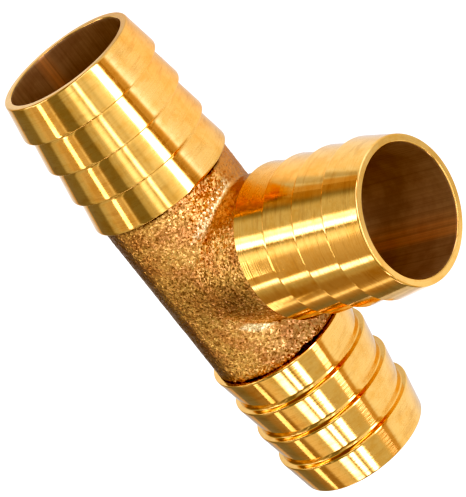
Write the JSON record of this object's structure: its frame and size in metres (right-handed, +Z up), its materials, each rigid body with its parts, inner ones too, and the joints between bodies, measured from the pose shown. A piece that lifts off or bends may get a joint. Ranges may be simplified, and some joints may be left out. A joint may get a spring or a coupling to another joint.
{
  "type": "barbed tee connector",
  "caption": "Brass tee hose connector: a rough cast centre with turned saw-tooth barbed tails and one constant water way, for branching flexible irrigation pipe.",
  "frame": {"origin": "where the run's axis crosses the branch's axis, at the middle of the run", "axes": "+Y along the run towards the left run tail, +X along the branch towards its tip, +Z up when the tee lies flat"},
  "size_m": [0.0585, 0.0894, 0.0272],
  "materials": {
    "cast_brass": "sand cast, gritty and slightly coppery",
    "turned_brass": "bright turned, fine circumferential tool marks"
  },
  "bodies": {
    "root": {"tee_body": "cast_brass", "run_tail_left": "turned_brass", "run_tail_right": "turned_brass", "branch_tail": "turned_brass"}
  },
  "joints": []
}
